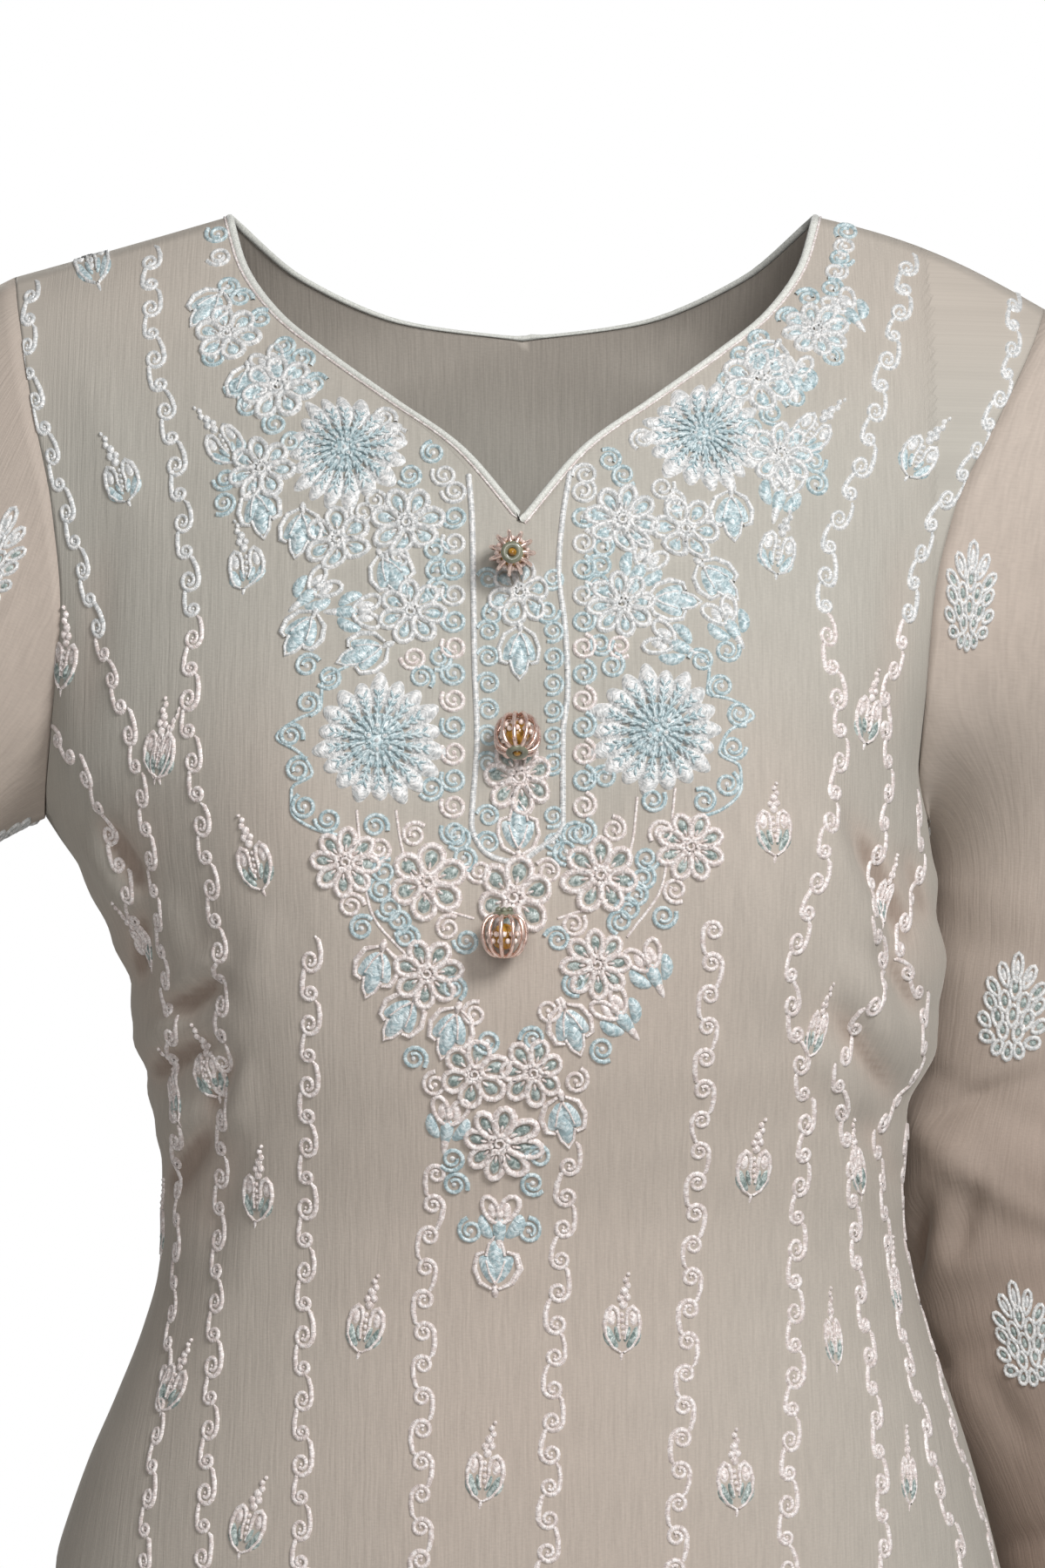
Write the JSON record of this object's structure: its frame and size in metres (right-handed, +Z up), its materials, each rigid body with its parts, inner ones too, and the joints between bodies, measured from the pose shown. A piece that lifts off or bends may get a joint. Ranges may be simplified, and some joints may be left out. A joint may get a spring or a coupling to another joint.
{
  "type": "gharara suit",
  "caption": "Worn gharara suit: long embroidered crepe kameez with a V neck and hanging cage buttons over gathered, flared satin trousers.",
  "frame": {"origin": "between the two high shoulder points, at their height, where the shoulders carry the suit", "axes": "+Z up, the front faces -Y, the wearer's left side is +X"},
  "size_m": [0.7294, 0.4529, 1.3967],
  "materials": {
    "georgette": "matt",
    "piping": "satin",
    "satin": "satin",
    "thread_pink": "gloss",
    "thread_aqua": "gloss",
    "button_wire": "polished",
    "button_bead": "gloss"
  },
  "bodies": {
    "root": {"kameez_front": "georgette", "kameez_back": "georgette", "neck_piping": "piping", "gharara_waistband": "satin", "sleeve_left": "georgette", "gharara_leg_left": "satin", "gharara_flare_left": "satin", "sleeve_right": "georgette", "gharara_leg_right": "satin", "gharara_flare_right": "satin", "button_top": "button_wire", "button_middle": "button_wire", "button_bottom": "button_wire"}
  },
  "joints": []
}
